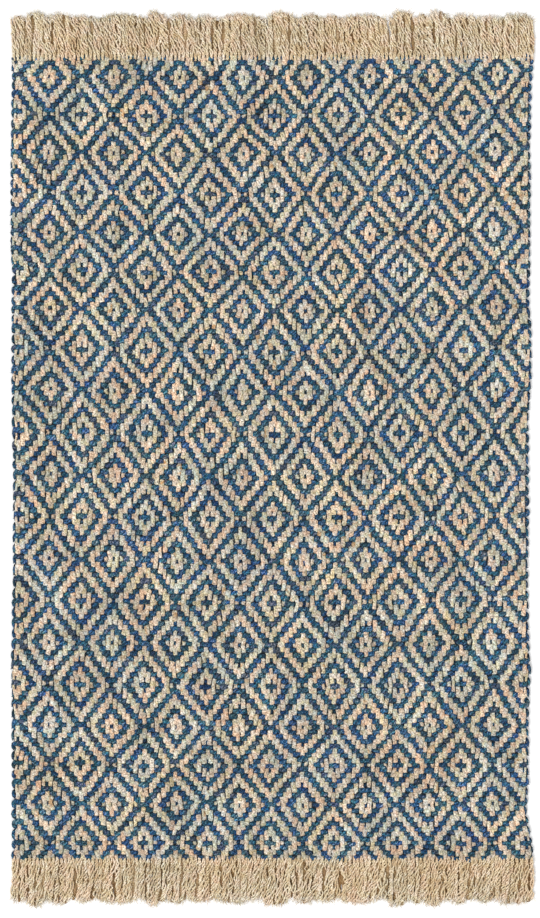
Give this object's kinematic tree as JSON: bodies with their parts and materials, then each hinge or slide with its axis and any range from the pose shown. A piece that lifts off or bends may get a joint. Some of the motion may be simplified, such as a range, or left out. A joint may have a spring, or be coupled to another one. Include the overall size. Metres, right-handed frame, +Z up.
{
  "type": "natural fibre rug",
  "caption": "Flat-woven natural fibre rug with uneven self-edges and a loose warp fringe at both ends, lying flat.",
  "frame": {"origin": "on the floor under the middle of the rug's outline, fringes counted in", "axes": "+X across the rug, +Y along it towards its far end, +Z up from the floor"},
  "size_m": [0.9076, 1.553, 0.008],
  "materials": {
    "woven_jute": "two-colour diamond twill of natural and blue jute yarn, matt with a slight fibre sheen",
    "natural_jute": "undyed plied jute yarn, matt and hairy with frayed ends"
  },
  "bodies": {
    "root": {"woven_field": "woven_jute", "fringe_far": "natural_jute", "fringe_near": "natural_jute"}
  },
  "joints": []
}
